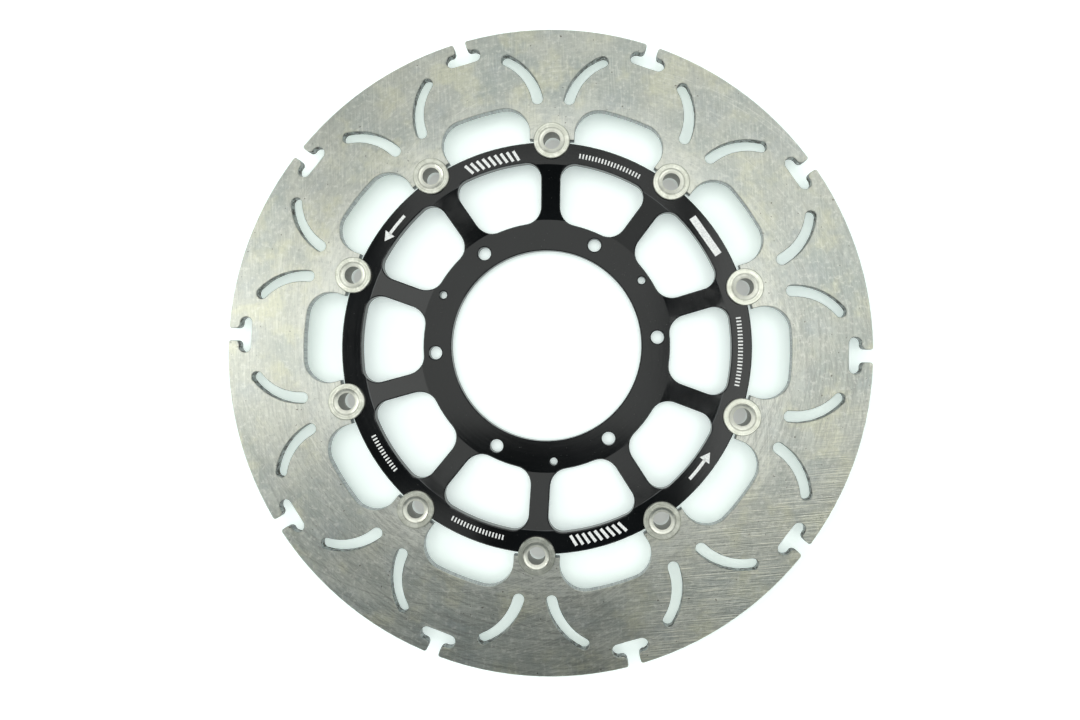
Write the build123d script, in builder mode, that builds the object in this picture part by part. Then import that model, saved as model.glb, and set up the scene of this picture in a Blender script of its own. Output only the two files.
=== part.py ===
from build123d import *
import os
from math import cos, hypot, radians, sin

# Front brake disc of a motorcycle with a floating rotor, in millimetres.
# The disc's axis is +Z and the bobbins' heads point up.  The origin is the centre of the hub's
# back face, the face that is bolted to the wheel.  Bobbin 1 is on +Y and the rest follow
# counter-clockwise, seen from the front.

# Rotor: a flat steel ring, ground on both faces
rotor_diameter = 310.0
rotor_thickness = 5.0
rotor_edge_break = 0.25
scallop_radius = 117.5
scallop_corner_radius = 12.0
lug_tip_radius = 100.05
lug_width = 21.8
lug_corner_radius = 2.0

# T-shaped notches in the rotor's rim
notch_count = 10
notch_neck_width = 6.0
notch_depth = 11.2
notch_span = 17.4
notch_lobe_height = 6.0
notch_nose_radius = 2.2
notch_rim_corner_radius = 1.2

# Curved slots, one each side of every lug's centreline
slot_width = 5.4
slot_arc_radius = 27.5
slot_centre_radius = 119.1
slot_centre_angle = 16.9
slot_start_angle = -76.8
slot_sweep_angle = 53.4

# Carrier: hub ring, dished spokes and outer ring, turned and milled in one piece
carrier_diameter = 197.4
carrier_thickness = 5.0
hub_bore_diameter = 94.0
hub_flat_radius = 62.3
ring_flat_radius = 87.9
front_step = 9.5
carrier_edge_break = 0.5
window_outer_radius = 89.1
window_inner_radius = 61.0
window_outer_corner = 7.0
window_inner_corner = 9.0
spoke_width = 9.4

# Holes in the hub
wheel_bolt_circle = 110.0
wheel_bolt_count = 6
wheel_bolt_hole = 6.5
wheel_bolt_angle = 6.0
ring_screw_circle = 114.0
ring_screw_count = 3
ring_screw_hole = 3.7
ring_screw_angle = 36.0

# Bobbins, each in a round seat shared by the rotor and the carrier
bobbin_count = 10
bobbin_circle_radius = 99.35
bobbin_first_angle = 90.0
bobbin_head_diameter = 17.6
bobbin_head_height = 1.5
bobbin_head_edge = 0.3
bobbin_shank_diameter = 13.0
bobbin_bore_diameter = 8.4
bobbin_seat_clearance = 0.05
bobbin_length = 10.4
bobbin_face_ring = 6.3
bobbin_face_step = 0.12
bobbin_countersink_radius = 6.1
bobbin_countersink_depth = 0.55
bobbin_tail_chamfer = 0.5

# Wave washer, flat washer and circlip behind each bobbin
wave_strip_thickness = 0.4
wave_amplitude = 0.25
wave_count = 3
wave_clearance = 0.05
wave_half_sections = 18
washer_inner_radius = 6.65
washer_outer_radius = 8.7
flat_washer_thickness = 0.8
washer_edge_break = 0.1
circlip_thickness = 1.0
circlip_outer_radius = 7.7
circlip_offset = 0.35
circlip_gap = 3.0
circlip_ear_radius = 1.3
circlip_ear_hole = 1.0
circlip_ear_circle = 7.6
circlip_ear_angle = 17.0
groove_depth = 0.55
groove_width = 1.1
groove_play = 0.05

# Heights that follow from the sizes above
rotor_radius = rotor_diameter / 2
carrier_radius = carrier_diameter / 2
hub_bore_radius = hub_bore_diameter / 2
hub_front_z = carrier_thickness
front_z = hub_front_z + front_step
back_z = front_z - rotor_thickness
sector_angle = 360 / bobbin_count
bobbin_face_z = front_z + bobbin_head_height
bobbin_tail_z = bobbin_face_z - bobbin_length
wave_height = wave_strip_thickness + 2 * wave_amplitude
wave_mid_z = back_z - wave_clearance - wave_height / 2
flat_washer_z = back_z - 2 * wave_clearance - wave_height - flat_washer_thickness
groove_top_z = flat_washer_z
circlip_z = groove_top_z - circlip_thickness
shank_radius = bobbin_shank_diameter / 2
seat_radius = shank_radius + bobbin_seat_clearance
groove_radius = shank_radius - groove_depth

os.makedirs("parts", exist_ok=True)


def at_radius(vertices, radius):
    """The vertices that lie on a circle about the disc's axis."""
    return vertices.filter_by(lambda v: abs(hypot(v.X, v.Y) - radius) < 0.01)


# ---- Rotor --------------------------------------------------------------------------------------

# One rim notch, on +X: a neck open to the rim and a cross slot with round ends
notch_floor_radius = rotor_radius - notch_depth
lobe_mid_radius = notch_floor_radius + notch_lobe_height / 2
lobe_top_radius = notch_floor_radius + notch_lobe_height
with BuildSketch() as notch:
    with Locations((lobe_mid_radius, 0)):
        SlotOverall(notch_span, notch_lobe_height, rotation=90)
    with Locations((lobe_mid_radius, 0)):
        Rectangle(notch_depth, notch_neck_width, align=(Align.MIN, Align.CENTER))
    noses = notch.vertices().filter_by(
        lambda v: abs(v.X - lobe_top_radius) < 0.01 and abs(abs(v.Y) - notch_neck_width / 2) < 0.01
    )
    fillet(noses, notch_nose_radius)

# The pair of curved slots beside a lug whose centreline is +X
slot_centre = (
    slot_centre_radius * cos(radians(slot_centre_angle)),
    slot_centre_radius * sin(radians(slot_centre_angle)),
)
with BuildLine() as slot_path:
    CenterArc(slot_centre, slot_arc_radius, slot_start_angle, slot_sweep_angle)
with BuildSketch() as slot_pair:
    SlotArc(slot_path.edge(), slot_width)
    mirror(about=Plane.XZ)

with BuildPart() as rotor:
    with BuildSketch(Plane.XY.offset(back_z)) as rotor_outline:
        Circle(rotor_radius)
        Circle(scallop_radius, mode=Mode.SUBTRACT)
        with PolarLocations(scallop_radius, bobbin_count, start_angle=bobbin_first_angle):
            Rectangle(2 * (scallop_radius - lug_tip_radius), lug_width)
        Circle(lug_tip_radius, mode=Mode.SUBTRACT)
        fillet(at_radius(rotor_outline.vertices(), scallop_radius), scallop_corner_radius)
        fillet(at_radius(rotor_outline.vertices(), lug_tip_radius), lug_corner_radius)
        with PolarLocations(bobbin_circle_radius, bobbin_count, start_angle=bobbin_first_angle):
            Circle(seat_radius, mode=Mode.SUBTRACT)
        with PolarLocations(0, notch_count):
            add(notch.sketch, mode=Mode.SUBTRACT)
        fillet(at_radius(rotor_outline.vertices(), rotor_radius), notch_rim_corner_radius)
        with PolarLocations(0, bobbin_count, start_angle=bobbin_first_angle):
            add(slot_pair.sketch, mode=Mode.SUBTRACT)
    extrude(amount=rotor_thickness)
    chamfer(rotor.faces().filter_by(Axis.Z).edges(), rotor_edge_break)

rotor.part.label = "rotor"
export_step(rotor.part, "parts/rotor.step")

# ---- Carrier ------------------------------------------------------------------------------------

with BuildPart() as carrier:
    with BuildSketch(Plane.XZ):
        with BuildLine():
            Polyline(
                (hub_bore_radius, 0),
                (hub_flat_radius, 0),
                (ring_flat_radius, back_z),
                (carrier_radius, back_z),
                (carrier_radius, front_z),
                (ring_flat_radius, front_z),
                (hub_flat_radius, hub_front_z),
                (hub_bore_radius, hub_front_z),
                close=True,
            )
        make_face()
    revolve(axis=Axis.Z)
    with BuildSketch() as windows:
        Circle(window_outer_radius)
        Circle(window_inner_radius, mode=Mode.SUBTRACT)
        with PolarLocations(0, bobbin_count, start_angle=bobbin_first_angle):
            Rectangle(
                carrier_radius, spoke_width, align=(Align.MIN, Align.CENTER), mode=Mode.SUBTRACT
            )
        fillet(at_radius(windows.vertices(), window_outer_radius), window_outer_corner)
        fillet(at_radius(windows.vertices(), window_inner_radius), window_inner_corner)
    extrude(amount=bobbin_face_z, mode=Mode.SUBTRACT)
    with BuildSketch():
        with PolarLocations(wheel_bolt_circle / 2, wheel_bolt_count, start_angle=wheel_bolt_angle):
            Circle(wheel_bolt_hole / 2)
        with PolarLocations(ring_screw_circle / 2, ring_screw_count, start_angle=ring_screw_angle):
            Circle(ring_screw_hole / 2)
    extrude(amount=hub_front_z, mode=Mode.SUBTRACT)
    walls = carrier.faces().filter_by(lambda f: abs(f.normal_at().Z) < 0.01)
    skins = carrier.faces().filter_by(lambda f: abs(f.normal_at().Z) > 0.5)
    wall_edges = set(walls.edges())
    chamfer(skins.edges().filter_by(lambda e: e in wall_edges), carrier_edge_break)
    with BuildSketch(Plane.XY.offset(back_z)):
        with PolarLocations(bobbin_circle_radius, bobbin_count, start_angle=bobbin_first_angle):
            Circle(seat_radius)
    extrude(amount=carrier_thickness, mode=Mode.SUBTRACT)

carrier.part.label = "carrier"
export_step(carrier.part, "parts/carrier.step")

# ---- One bobbin and what holds it, about +Z ------------------------------------------------------

with BuildPart() as bobbin:
    with BuildSketch(Plane.XZ):
        with BuildLine():
            Polyline(
                (bobbin_bore_diameter / 2, bobbin_tail_z),
                (shank_radius - bobbin_tail_chamfer, bobbin_tail_z),
                (shank_radius, bobbin_tail_z + bobbin_tail_chamfer),
                (shank_radius, groove_top_z - groove_width),
                (groove_radius, groove_top_z - groove_width),
                (groove_radius, groove_top_z),
                (shank_radius, groove_top_z),
                (shank_radius, front_z),
                (bobbin_head_diameter / 2, front_z),
                (bobbin_head_diameter / 2, bobbin_face_z - bobbin_head_edge),
                (bobbin_head_diameter / 2 - bobbin_head_edge, bobbin_face_z),
                (bobbin_face_ring + bobbin_face_step, bobbin_face_z),
                (bobbin_face_ring, bobbin_face_z - bobbin_face_step),
                (bobbin_countersink_radius, bobbin_face_z - bobbin_face_step),
                (bobbin_bore_diameter / 2, bobbin_face_z - bobbin_countersink_depth),
                close=True,
            )
        make_face()
    revolve(axis=Axis.Z)

# Wave washer: a flat strip whose height rises and falls three times round the shank
with BuildPart() as wave_washer:
    strip_radius = (washer_inner_radius + washer_outer_radius) / 2
    for section in range(wave_half_sections + 1):
        angle = 180 * section / wave_half_sections
        across = (cos(radians(angle)), sin(radians(angle)), 0)
        along = (-across[1], across[0], 0)
        height = wave_mid_z + wave_amplitude * cos(radians(wave_count * angle))
        middle = (strip_radius * across[0], strip_radius * across[1], height)
        with BuildSketch(Plane(origin=middle, x_dir=across, z_dir=along)):
            Rectangle(washer_outer_radius - washer_inner_radius, wave_strip_thickness)
    loft()
    mirror(about=Plane.XZ)

with BuildPart() as flat_washer:
    with BuildSketch(Plane.XY.offset(flat_washer_z)):
        Circle(washer_outer_radius)
        Circle(washer_inner_radius, mode=Mode.SUBTRACT)
    extrude(amount=flat_washer_thickness)
    chamfer(flat_washer.edges(), washer_edge_break)

# Circlip: thickest opposite its gap, with two ears that face the hub
with BuildPart() as circlip:
    with BuildSketch(Plane.XY.offset(circlip_z)):
        with Locations((circlip_offset, 0)):
            Circle(circlip_outer_radius)
        with PolarLocations(circlip_ear_circle, 2, start_angle=180 - circlip_ear_angle,
                            angular_range=2 * circlip_ear_angle, endpoint=True):
            Circle(circlip_ear_radius)
        Circle(groove_radius + groove_play, mode=Mode.SUBTRACT)
        Rectangle(circlip_outer_radius * 2, circlip_gap, align=(Align.MAX, Align.CENTER),
                  mode=Mode.SUBTRACT)
        with PolarLocations(circlip_ear_circle, 2, start_angle=180 - circlip_ear_angle,
                            angular_range=2 * circlip_ear_angle, endpoint=True):
            Circle(circlip_ear_hole / 2, mode=Mode.SUBTRACT)
    extrude(amount=circlip_thickness)

# ---- The same stack at every seat ---------------------------------------------------------------

bobbin_stack = {
    "bobbin": bobbin.part,
    "wave_washer": wave_washer.part,
    "flat_washer": flat_washer.part,
    "circlip": circlip.part,
}
seats = PolarLocations(bobbin_circle_radius, bobbin_count, start_angle=bobbin_first_angle)
for number, seat in enumerate(seats, start=1):
    for name, piece in bobbin_stack.items():
        placed = piece.moved(seat)
        placed.label = f"{name}_{number:02d}"
        export_step(placed, f"parts/{placed.label}.step")
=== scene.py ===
from math import cos, pi, radians, sin

import bpy
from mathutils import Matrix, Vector


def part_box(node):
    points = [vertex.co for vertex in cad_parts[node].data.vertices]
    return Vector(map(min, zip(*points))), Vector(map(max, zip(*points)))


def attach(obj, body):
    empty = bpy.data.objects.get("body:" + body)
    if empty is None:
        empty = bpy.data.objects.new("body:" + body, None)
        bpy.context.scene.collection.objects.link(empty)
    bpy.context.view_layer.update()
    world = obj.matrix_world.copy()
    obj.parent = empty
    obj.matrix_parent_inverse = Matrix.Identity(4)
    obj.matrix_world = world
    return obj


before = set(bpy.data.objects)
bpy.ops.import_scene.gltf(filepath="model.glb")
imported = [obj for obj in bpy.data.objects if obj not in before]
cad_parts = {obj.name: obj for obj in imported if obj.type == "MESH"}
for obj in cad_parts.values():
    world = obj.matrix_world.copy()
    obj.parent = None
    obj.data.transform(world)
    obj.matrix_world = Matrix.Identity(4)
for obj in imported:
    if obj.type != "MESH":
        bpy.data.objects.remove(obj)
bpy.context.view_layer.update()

# ---- Carrier ----
# The centre of the disc: hub ring, ten dished spokes and outer ring, turned and milled from one
# aluminium plate, its edges broken, then anodised black.  Turning marks still show as fine rings.


class Wire:
    """One socket of a finish.  Arithmetic on it adds the Math nodes that the expression needs."""

    def __init__(self, finish, socket):
        self.finish = finish
        self.socket = socket

    def math(self, operation, *values):
        return self.finish.make("ShaderNodeMath", {"operation": operation}, dict(enumerate(values)))

    def __add__(self, other):
        return self.math("ADD", self, other)

    def __radd__(self, other):
        return self.math("ADD", other, self)

    def __sub__(self, other):
        return self.math("SUBTRACT", self, other)

    def __rsub__(self, other):
        return self.math("SUBTRACT", other, self)

    def __mul__(self, other):
        return self.math("MULTIPLY", self, other)

    def __rmul__(self, other):
        return self.math("MULTIPLY", other, self)

    def __truediv__(self, other):
        return self.math("DIVIDE", self, other)

    def __rtruediv__(self, other):
        return self.math("DIVIDE", other, self)

    def __pow__(self, other):
        return self.math("POWER", self, other)

    def __abs__(self):
        return self.math("ABSOLUTE", self)

    def sine(self):
        return self.math("SINE", self)

    def cosine(self):
        return self.math("COSINE", self)

    def ease(self, start, end, low=0.0, high=1.0):
        """Goes smoothly from low to high as this value goes from start to end."""
        return self.finish.make(
            "ShaderNodeMapRange",
            {"interpolation_type": "SMOOTHSTEP"},
            {"Value": self, "From Min": start, "From Max": end, "To Min": low, "To Max": high},
        )


class Finish:
    """A procedural material whose patterns are measured in millimetres on the disc."""

    def __init__(self, name):
        self.material = bpy.data.materials.new(name)
        self.material.use_nodes = True
        self.tree = self.material.node_tree
        self.shader = self.tree.nodes["Principled BSDF"]
        place = self.make("ShaderNodeTexCoord", output="Object")
        self.mm = self.make(
            "ShaderNodeVectorMath", {"operation": "SCALE"}, {"Vector": place, "Scale": 1000.0}
        )
        self.x, self.y, self.z = self.parts(self.mm)
        self.facing = abs(self.parts(self.make("ShaderNodeTexCoord", output="Normal"))[2])

    def make(self, kind, settings=None, inputs=None, output=0):
        """Any node: its type, its settings, then the values or links of its sockets."""
        node = self.tree.nodes.new(kind)
        for name, value in (settings or {}).items():
            setattr(node, name, value)
        for name, value in (inputs or {}).items():
            self.put(node.inputs[name], value)
        return Wire(self, node.outputs[output])

    def put(self, socket, value):
        if isinstance(value, Wire):
            self.tree.links.new(value.socket, socket)
        else:
            socket.default_value = value

    def surface(self, **values):
        for name, value in values.items():
            self.put(self.shader.inputs[name.replace("_", " ")], value)

    def parts(self, vector):
        node = self.tree.nodes.new("ShaderNodeSeparateXYZ")
        self.put(node.inputs[0], vector)
        return [Wire(self, socket) for socket in node.outputs]

    def vector(self, x, y, z):
        return self.make("ShaderNodeCombineXYZ", None, {"X": x, "Y": y, "Z": z})

    def noise(self, vector, scale, detail=3.0, roughness=0.5):
        sizes = {"Vector": vector, "Scale": scale, "Detail": detail, "Roughness": roughness}
        return self.make("ShaderNodeTexNoise", None, sizes)

    def mix(self, share, first, second):
        """A colour between two others.  A Mix node holds its colours in sockets 6 and 7."""
        colours = {0: share, 6: first + (1.0,) if isinstance(first, tuple) else first}
        colours[7] = second + (1.0,) if isinstance(second, tuple) else second
        return self.make("ShaderNodeMix", {"data_type": "RGBA"}, colours, output=2)

    def bump(self, height, distance, under=None):
        """A relief, in metres at full height, on top of another one."""
        inputs = {"Height": height, "Distance": distance}
        if under is not None:
            inputs["Normal"] = under
        return self.make("ShaderNodeBump", None, inputs)

    def polar(self, x=0.0, y=0.0):
        """Distance from an axis through x, y, and the cosine and sine of the direction from it."""
        across = self.x - x
        along = self.y - y
        distance = (across * across + along * along + 0.0001) ** 0.5
        return distance, across / distance, along / distance

    def rings(self, distance, cosine, sine, lines_per_mm, reach, detail=3.0):
        """Noise drawn out round an axis, which repeats after reach of its own lengths a turn."""
        track = self.vector(cosine * reach, sine * reach, distance * lines_per_mm)
        return self.noise(track, 1.0, detail, 0.6)

    def wear(self, node_names):
        """Puts this finish on CAD nodes."""
        for name in node_names:
            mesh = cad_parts[name].data
            mesh.materials.clear()
            mesh.materials.append(self.material)


anodised = Finish("black_anodised_aluminium")
hub_distance, hub_cosine, hub_sine = anodised.polar()
coarse_turning = anodised.rings(hub_distance, hub_cosine, hub_sine, 1.1, 1.5)
fine_turning = anodised.rings(hub_distance, hub_cosine, hub_sine, 4.5, 2.5)
cloud = anodised.noise(anodised.mm, 0.025, 3.0, 0.55)
dust = anodised.noise(anodised.mm, 1.3, 2.0, 0.5).ease(0.70, 0.78)
# The chamfers of the broken edges are painted lighter grey all over, a painted sheen, and lighter
# still in rubbed patches, which is wear.
edge_wear_and_sheen = anodised.facing.ease(0.4, 0.6) * anodised.facing.ease(0.96, 0.80)
rubbed = anodised.noise(anodised.mm, 0.45, 4.0, 0.6).ease(0.38, 0.66)
black = anodised.mix(cloud.ease(0.35, 0.65), (0.0014, 0.0015, 0.0018), (0.0034, 0.0036, 0.0042))
black = anodised.mix(dust * 0.35, black, (0.09, 0.09, 0.085))

# A thin lighter line, in patches, where the dish meets the flat outer ring
ring_flat = 87.9
ridge = hub_distance.ease(ring_flat - 0.45, ring_flat - 0.15) * hub_distance.ease(
    ring_flat + 0.3, ring_flat
)
black = anodised.mix(ridge * cloud.ease(0.40, 0.60) * 0.5, black, (0.10, 0.105, 0.11))
# Base colour: the black, with the painted sheen and the wear on the chamfers.
anodised.surface(
    Base_Color=anodised.mix(edge_wear_and_sheen * (0.06 + rubbed * 0.25), black, (0.075, 0.078, 0.085)),
    Roughness=0.05 + coarse_turning * 0.06 + cloud * 0.06 + dust * 0.2,
    IOR=1.5,
    Normal=anodised.bump(fine_turning, 0.000004, anodised.bump(coarse_turning, 0.00001)),
)
anodised.wear(["carrier"])

# ---- Rotor ----
# The friction ring that the pads grip: hardened stainless steel, laser cut and then ground flat on
# both faces.  The cut walls stay darker and brownish; the faces carry crossing grinding marks.

ground = Finish("ground_stainless_steel")
distance, cosine, sine = ground.polar()


def spiral(finish, distance, cosine, sine, twist, lines, drift, detail=3.0):
    """Noise drawn out along spirals that cross the face, with a number of lines round the rim."""
    turn = distance * twist
    across = cosine * turn.cosine() - sine * turn.sine()
    along = sine * turn.cosine() + cosine * turn.sine()
    return finish.noise(
        finish.vector(across * lines, along * lines, distance * drift), 1.0, detail, 0.62
    )


blotch = ground.noise(ground.mm, 0.017, 3.0, 0.6)
mottle = ground.noise(ground.mm, 0.085, 4.0, 0.62)
fleck = ground.noise(ground.mm, 0.42, 4.0, 0.7)
grain = ground.noise(ground.mm, 1.1, 3.0, 0.7)
round_marks = ground.rings(distance, cosine, sine, 0.8, 5.0, 4.0)
fine_round_marks = ground.rings(distance, cosine, sine, 3.0, 14.0, 2.0)
leading_marks = spiral(ground, distance, cosine, sine, 0.020, 95.0, 0.03)
trailing_marks = spiral(ground, distance, cosine, sine, -0.031, 120.0, 0.05)
scratch_field = spiral(ground, distance, cosine, sine, 0.047, 34.0, 0.010, 1.0)
scratches = scratch_field.ease(0.67, 0.71) * mottle.ease(0.44, 0.58)
speck = ground.noise(ground.mm, 0.55, 1.0, 0.5).ease(0.745, 0.77)

# The lower half was finished last, by hand: its marks are stronger, and they are painted darker
# there, a painted shade.  To the lower right they run nearly level across the face.
lower_side = (ground.x * 0.35 - ground.y).ease(-60.0, 120.0)
level_side = (ground.x * 0.6 - ground.y).ease(95.0, 150.0) * ground.x.ease(20.0, 70.0)
level_marks = ground.noise(
    ground.vector(ground.x * 0.05 + ground.y * 0.007, ground.y * 1.9 - ground.x * 0.25, 0.0),
    1.0,
    4.0,
    0.62,
)
upright_side = 1.0 - lower_side * 0.65
upright_marks = ground.noise(
    ground.vector(ground.x * 1.5 + ground.y * 0.12, ground.y * 0.07, 0.0), 1.0, 4.0, 0.65
)
lug_foot, lug_tip = 128.0, 106.0
lug_side = distance.ease(lug_foot, lug_tip)

# Height of the grinding marks
marks = round_marks * 0.45 + leading_marks * 0.31 + trailing_marks * 0.24
marks = marks + (level_marks - marks) * level_side * 0.85

# Colour of the faces: clouds first, then the marks, then the small flecks, scratches and specks
hue = ground.noise(ground.vector(ground.y, ground.z, ground.x), 0.05, 3.0, 0.6)
face = ground.mix(blotch.ease(0.38, 0.62), (0.425, 0.455, 0.43), (0.53, 0.535, 0.48))
face = ground.mix(hue.ease(0.49, 0.64) * 0.65, face, (0.64, 0.63, 0.48))
face = ground.mix(hue.ease(0.46, 0.32) * 0.5, face, (0.45, 0.48, 0.485))
face = ground.mix(mottle.ease(0.38, 0.64) * (0.30 + lug_side * 0.3), face, (0.72, 0.72, 0.645))
face = ground.mix(lug_side * 0.45, face, (0.80, 0.80, 0.745))
# How far the marks' low lines are darkened: a little everywhere, much more over the lower half, a
# painted shade, and less at the lower right.
mark_darkening = 0.20 + lower_side * 0.52 - level_side * 0.35
face = ground.mix(marks.ease(0.56, 0.40) * mark_darkening, face, (0.27, 0.27, 0.25))
# Painted highlight: the raised level marks at the lower right are painted light yellow.
face = ground.mix(marks.ease(0.50, 0.66) * level_side * 0.8, face, (0.93, 0.90, 0.76))
face = ground.mix(fleck.ease(0.53, 0.64) * 0.40, face, (0.79, 0.785, 0.73))
face = ground.mix(fleck.ease(0.46, 0.34) * 0.30, face, (0.29, 0.305, 0.295))
face = ground.mix(upright_marks.ease(0.52, 0.66) * upright_side * 0.34, face, (0.80, 0.80, 0.73))
face = ground.mix(upright_marks.ease(0.46, 0.34) * upright_side * 0.24, face, (0.34, 0.36, 0.345))
face = ground.mix(fine_round_marks.ease(0.55, 0.75) * 0.25, face, (0.70, 0.69, 0.64))
face = ground.mix(scratches * 0.42, face, (0.80, 0.79, 0.74))
face = ground.mix(speck * 0.7, face, (0.12, 0.10, 0.08))

# Cut walls: fine upright kerf lines, stained dark brown in patches in the slots and notches
stain_start, stain_full, rim = 121.0, 132.0, 155.0
stain = fleck.ease(0.46, 0.60) * distance.ease(stain_start, stain_full)
stain = stain * distance.ease(rim - 0.6, rim - 1.4)
kerf = ground.noise(ground.vector(ground.x * 1.9, ground.y * 1.9, ground.z * 0.12), 1.0, 3.0, 0.6)
cut = ground.mix(kerf.ease(0.35, 0.62), (0.30, 0.315, 0.32), (0.47, 0.485, 0.48))
cut = ground.mix(stain * 0.9, cut, (0.045, 0.034, 0.026))
wall = ground.facing.ease(0.45, 0.15)
ground.surface(
    Base_Color=ground.mix(wall, face, cut),
    Metallic=1.0,
    Roughness=0.26 + mottle * 0.12 + fleck * 0.07 + grain * 0.06 + wall * 0.12,
    Normal=ground.bump(
        marks * (0.30 + lower_side + level_side * 0.8),
        0.00010,
        ground.bump(grain + fine_round_marks, 0.000016),
    ),
)
ground.wear(["rotor"])

# ---- Bobbins ----
# Ten flanged bushes of turned stainless steel, which carry the rotor on the carrier.  Each shows
# the lathe's rings about its own axis and a fine step on the face.  Painted on them are a shade
# along the step and on the bore's wall, a highlight on the countersink and a radial sheen.

bobbin_circle = 99.35
bobbin_pitch = radians(36.0)
bobbin_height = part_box("bobbin_01")[1].z * 1000
bore_radius = 4.2
countersink_radius = 6.1
face_step_radius = 6.3


def about_own_axis(finish):
    """The polar place about the nearest of the ten bobbin axes, and that axis's number."""
    steps = (finish.y.math("ARCTAN2", finish.y, finish.x) - pi / 2) / bobbin_pitch
    number = steps.math("ROUND", steps)
    direction = number * bobbin_pitch + pi / 2
    place = finish.polar(direction.cosine() * bobbin_circle, direction.sine() * bobbin_circle)
    return place + (number,)


turned = Finish("turned_bobbin_steel")
distance, cosine, sine, number = about_own_axis(turned)
own = number * 3.7
lathe = turned.noise(turned.vector(cosine * 0.5, sine * 0.5 + own, distance * 3.2), 1.0, 3.0, 0.6)
fine_lathe = turned.noise(
    turned.vector(cosine * 0.8, sine * 0.8 + own, distance * 9.0), 1.0, 2.0, 0.6
)
smudge = turned.noise(turned.mm, 0.16, 3.0, 0.6)
# Painted sheen: broad radial sectors of each face are painted lighter or darker, where a turned
# face's highlight would fall.
radial_sheen = turned.noise(
    turned.vector(cosine * 2.2, sine * 2.2 + own, distance * 0.12), 1.0, 3.0, 0.6
)
bore = distance.ease(bore_radius + 0.3, bore_radius + 0.05)
below_face = turned.z.ease(bobbin_height - 0.35, bobbin_height - 1.2)
countersink = distance.ease(countersink_radius - 0.2, countersink_radius - 0.5)
satin = distance.ease(countersink_radius - 0.7, countersink_radius - 1.2)
step_line = distance.ease(face_step_radius - 0.3, face_step_radius - 0.1) * distance.ease(
    face_step_radius + 0.3, face_step_radius + 0.1
)
metal = turned.mix(smudge.ease(0.38, 0.68), (0.72, 0.725, 0.635), (0.86, 0.86, 0.77))
# Painted highlight and painted shade, in radial sectors
metal = turned.mix(radial_sheen.ease(0.52, 0.64) * 0.7, metal, (0.97, 0.965, 0.87))
metal = turned.mix(radial_sheen.ease(0.46, 0.34) * 0.5, metal, (0.52, 0.52, 0.44))
metal = turned.mix(lathe.ease(0.55, 0.38) * 0.45, metal, (0.42, 0.42, 0.36))
# Painted shade: a darker line along the step on the face.
metal = turned.mix(step_line * 0.5, metal, (0.30, 0.29, 0.26))
# Painted highlight: the countersink is painted bright.
metal = turned.mix(countersink * 0.6, metal, (0.95, 0.94, 0.86))
# Painted shade: the bore's wall below the face is painted darker.
metal = turned.mix(bore * below_face * 0.8, metal, (0.34, 0.34, 0.33))
turned.surface(
    Base_Color=metal,
    Metallic=1.0,
    Roughness=0.22 + smudge * 0.12 + fine_lathe * 0.08 + satin * 0.25,
    Normal=turned.bump(lathe, 0.00003, turned.bump(fine_lathe, 0.000008)),
)
turned.wear([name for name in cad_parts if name.startswith("bobbin")])

# ---- Wave washers ----
# A ring of hardened spring strip behind the rotor on every bobbin, pressed to three waves.  It
# takes up the rotor's play and keeps the blue of its heat treatment.

blued = Finish("blued_spring_steel")
distance, cosine, sine, number = about_own_axis(blued)
oxide = blued.noise(blued.vector(blued.x, blued.y, blued.z + number * 5.1), 0.35, 4.0, 0.6)
roll_marks = blued.noise(blued.vector(distance * 4.0, cosine, sine + number), 1.0, 3.0, 0.6)
tint = blued.mix(oxide.ease(0.35, 0.65), (0.085, 0.095, 0.125), (0.20, 0.17, 0.13))
blued.surface(
    Base_Color=blued.mix(roll_marks.ease(0.5, 0.75) * 0.5, tint, (0.34, 0.34, 0.34)),
    Metallic=1.0,
    Roughness=0.27 + oxide * 0.16,
    Normal=blued.bump(roll_marks, 0.000012),
)
blued.wear([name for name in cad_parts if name.startswith("wave_washer")])

# ---- Flat washers ----
# Stamped steel, zinc plated, between the wave washer and the circlip: satin and faintly clouded,
# with a few brighter rubs round the axis.

zinc = Finish("zinc_plated_washer")
distance, cosine, sine, number = about_own_axis(zinc)
plating = zinc.noise(zinc.vector(zinc.x, zinc.y, zinc.z + number * 4.3), 0.5, 4.0, 0.6)
rub = zinc.noise(zinc.vector(cosine * 1.5, sine * 1.5 + number, distance * 2.5), 1.0, 3.0, 0.65)
coat = zinc.mix(plating.ease(0.35, 0.65), (0.43, 0.44, 0.455), (0.60, 0.605, 0.60))
zinc.surface(
    Base_Color=zinc.mix(rub.ease(0.55, 0.72) * 0.6, coat, (0.74, 0.745, 0.74)),
    Metallic=1.0,
    Roughness=0.30 + plating * 0.2,
    Normal=zinc.bump(rub, 0.00001),
)
zinc.wear([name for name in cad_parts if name.startswith("flat_washer")])

# ---- Circlips ----
# Spring clips that snap into the grooves at the bobbins' tails and hold the washers, stamped from
# hard steel and phosphated to a matt dark grey.

phosphate = Finish("phosphated_circlip")
number = about_own_axis(phosphate)[3]
crystal = phosphate.noise(phosphate.mm, 2.6, 3.0, 0.7)
wet = phosphate.noise(phosphate.vector(phosphate.x, phosphate.y, number * 6.0), 0.3, 3.0, 0.5)
grey = phosphate.mix(crystal.ease(0.35, 0.65), (0.022, 0.022, 0.023), (0.058, 0.057, 0.055))
phosphate.surface(
    Base_Color=phosphate.mix(phosphate.facing.ease(0.3, 0.0) * 0.35, grey, (0.14, 0.14, 0.14)),
    Metallic=0.45,
    Roughness=0.40 + wet * 0.25,
    Normal=phosphate.bump(crystal, 0.000018),
)
phosphate.wear([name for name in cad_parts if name.startswith("circlip")])

# ---- Marks on the carrier's outer ring ----
# Laser marks in white on the black ring, half-way between the bobbins: plain bars, ticks, a blank
# block and two arrows for the direction of rotation.  They stand 0.01 mm proud of the ring.

ring_middle = 0.0932
ring_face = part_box("rotor")[1].z
mark_depth = 0.00001
mark_height = 0.00002

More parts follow.
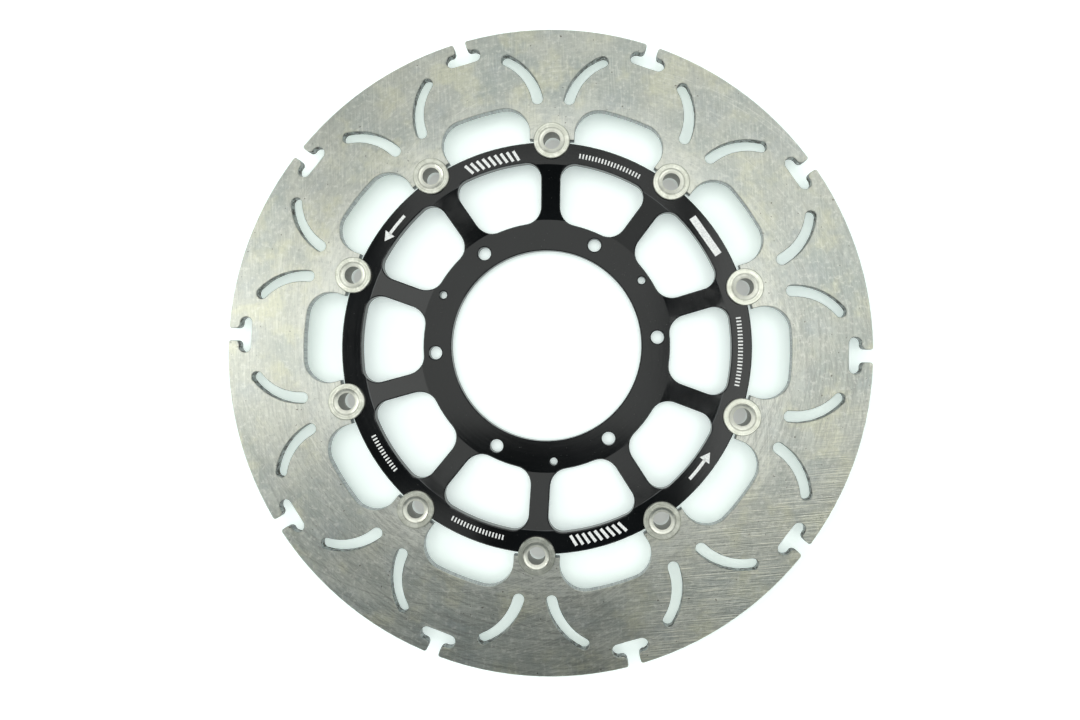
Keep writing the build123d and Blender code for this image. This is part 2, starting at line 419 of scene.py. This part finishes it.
marking = Finish("white_laser_mark")
burn = marking.noise(marking.mm, 1.4, 4.0, 0.65)
marking.surface(
    Base_Color=marking.mix(burn.ease(0.30, 0.62), (0.62, 0.63, 0.64), (0.88, 0.88, 0.87)),
    Roughness=0.55 + burn * 0.2,
)


def bar(angle, offset, length, width, slant=0.0):
    """A flat bar on the ring, offset along the ring from a middle at this angle."""
    turn = radians(angle) + offset / ring_middle
    bpy.ops.object.select_all(action="DESELECT")
    bpy.ops.mesh.primitive_cube_add(
        size=1.0,
        location=(ring_middle * cos(turn), ring_middle * sin(turn), ring_face - mark_depth),
        rotation=(0.0, 0.0, turn + radians(slant)),
        scale=(length, width, 2 * mark_height),
    )
    return bpy.context.object


def laser_mark(name, pieces):
    """Joins bars into one mark that belongs to the carrier."""
    bpy.ops.object.select_all(action="DESELECT")
    for piece in pieces:
        piece.select_set(True)
    bpy.context.view_layer.objects.active = pieces[0]
    if len(pieces) > 1:
        bpy.ops.object.join()
    mark = bpy.context.object
    mark.name = name
    bpy.ops.object.transform_apply(location=True, rotation=True, scale=True)
    mark.data.materials.append(marking.material)
    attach(mark, "carrier")


# Two rows of slanted bars, opposite each other
bar_pitch = 0.0030
bar_length = 0.0055
bar_width = 0.0014
bar_slant = 24.0
for name, angle in (("bar_mark_top", 108.0), ("bar_mark_bottom", -72.0)):
    laser_mark(
        name,
        [bar(angle, i * bar_pitch, bar_length, bar_width, bar_slant) for i in range(-4, 5)],
    )

# Four rows of fine ticks
tick_pitch = 0.0016
tick_length = 0.0023
tick_width = 0.0007
for name, angle, ticks in (
    ("tick_mark_a", 72.0, 20),
    ("tick_mark_b", 0.0, 21),
    ("tick_mark_c", 216.0, 13),
    ("tick_mark_d", 252.0, 17),
):
    middle = (ticks - 1) / 2
    laser_mark(
        name,
        [bar(angle, (i - middle) * tick_pitch, tick_length, tick_width) for i in range(ticks)],
    )

# Two arrows that show the direction of rotation: a strip turned about the disc's axis and a head
shaft_width = 0.0015
shaft_start = -4.6
shaft_sweep = 7.0
head_middle = 3.2
head_radius = 0.0031
for name, angle in (("arrow_mark_left", 144.0), ("arrow_mark_right", -36.0)):
    bpy.ops.object.select_all(action="DESELECT")
    start = radians(angle + shaft_start)
    bpy.ops.mesh.primitive_plane_add(
        size=1.0,
        location=(ring_middle * cos(start), ring_middle * sin(start), ring_face - mark_depth),
        rotation=(pi / 2, 0.0, start),
    )
    shaft = bpy.context.object
    shaft.scale = (shaft_width, 2 * mark_height, 1.0)
    bpy.ops.object.transform_apply(location=True, rotation=True, scale=True)
    bpy.ops.object.mode_set(mode="EDIT")
    bpy.ops.mesh.select_all(action="SELECT")
    bpy.ops.mesh.spin(
        steps=12, angle=-radians(shaft_sweep), center=(0.0, 0.0, 0.0), axis=(0.0, 0.0, 1.0)
    )
    bpy.ops.mesh.select_all(action="SELECT")
    bpy.ops.mesh.normals_make_consistent(inside=False)
    bpy.ops.object.mode_set(mode="OBJECT")
    end = radians(angle + head_middle)
    bpy.ops.object.select_all(action="DESELECT")
    bpy.ops.mesh.primitive_cylinder_add(
        vertices=3,
        radius=head_radius,
        depth=2 * mark_height,
        location=(ring_middle * cos(end), ring_middle * sin(end), ring_face - mark_depth),
        rotation=(0.0, 0.0, end),
    )
    laser_mark(name, [shaft, bpy.context.object])

# One blank block
blank_length = 0.0035
blank_width = 0.0217
laser_mark("blank_mark", [bar(36.0, 0.0, blank_length, blank_width)])

# ---- Floor ----
# A wide sheet of white paper under the disc, given a faint glow of its own: painted light that
# brightens the shade under the disc.
# Hardly any light gets down the bobbins' bores, so the paper below them is painted greyer, a
# painted shadow.

bpy.ops.object.select_all(action="DESELECT")
floor_size = 6.0
bpy.ops.mesh.primitive_plane_add(size=floor_size, location=(0.0, 0.0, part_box("carrier")[0].z))
floor = bpy.context.object
floor.name = "floor"
paper = Finish("white_paper")
fibre = paper.noise(paper.mm, 0.35, 4.0, 0.6)
# Painted shadow: the paper is greyer, in colour and glow, below each bobbin's bore.
bore_shade = about_own_axis(paper)[0].ease(bore_radius + 2.8, bore_radius - 0.2)
white = paper.mix(fibre, (0.845, 0.88, 0.875), (0.87, 0.905, 0.895))
paper.surface(
    Base_Color=paper.mix(bore_shade, white, (0.62, 0.62, 0.61)),
    Roughness=0.9,
    Specular_IOR_Level=0.1,
    # Painted light: the paper's faint glow, dimmer and greyer below the bores.
    Emission_Color=paper.mix(bore_shade, (0.86, 1.0, 0.98), (0.50, 0.51, 0.50)),
    Emission_Strength=0.33,
)
floor.data.materials.append(paper.material)

# ---- Light ----
# Soft panels hang level above the disc, the brightest a short one at the left, and walls stand all
# round.  Each face of the disc mirrors another of them; the paper has a light of its own.

world = bpy.data.worlds.new("studio")
world.use_nodes = True
world.node_tree.nodes["Background"].inputs["Color"].default_value = (0.72, 0.95, 1.0, 1.0)
world.node_tree.nodes["Background"].inputs["Strength"].default_value = 0.07
bpy.context.scene.world = world


def softbox(name, radiance, size, place, upright=False):
    """A soft panel of a given brightness, hung level, or stood up to face the disc."""
    light = bpy.data.lights.new(name, "AREA")
    light.shape = "RECTANGLE"
    light.size, light.size_y = size
    light.energy = radiance * pi * size[0] * size[1]
    light.color = (0.975, 1.0, 0.965)
    panel = bpy.data.objects.new(name, light)
    bpy.context.collection.objects.link(panel)
    panel.location = place
    if upright:
        panel.rotation_euler = (-Vector(place)).to_track_quat("-Z", "Y").to_euler()
    return panel


hang = 1.4
softbox("ceiling_panel", 1.2, (0.68, 0.70), (-0.14, 0.15, hang))
softbox("back_panel", 1.2, (1.3, 0.50), (-0.05, 0.78, hang))
softbox("left_panel", 9.0, (0.18, 0.30), (-0.80, 0.01, hang))
softbox("far_left_panel", 2.6, (0.50, 1.10), (-1.25, 0.05, hang))
softbox("front_left_panel", 0.85, (0.5, 0.35), (-0.5, -0.55, hang))
softbox("right_panel", 1.8, (0.62, 1.10), (0.58, 0.02, hang))
wall_away, wall_middle = 1.9, 0.9
for name, radiance, across, along in (
    ("left_wall", 1.2, -wall_away, 0.0),
    ("right_wall", 1.1, wall_away, 0.0),
    ("back_wall", 1.2, 0.0, wall_away),
    ("front_wall", 0.6, 0.0, -wall_away),
):
    softbox(name, radiance, (2.4, 1.0), (across, along, wall_middle), upright=True)
softbox("paper_light", 2.0, (1.6, 1.6), (0.0, 0.1, 2.0)).visible_glossy = False

# ---- Camera ----
# Held 0.36 m over the disc, a little to the right of its centre and almost square to it, with a
# wide lens that makes the parts near to it look larger.

lens = bpy.data.cameras.new("camera")
lens.lens = 24.0
lens.sensor_width = 36.0
lens.shift_x = -0.0235
lens.shift_y = -0.0443
camera = bpy.data.objects.new("camera", lens)
bpy.context.collection.objects.link(camera)
camera.location = (0.02593, -0.00331, 0.35941)
camera.rotation_euler = (radians(3.296), radians(2.604), radians(2.005))
bpy.context.scene.camera = camera
bpy.context.scene.view_settings.view_transform = "Standard"
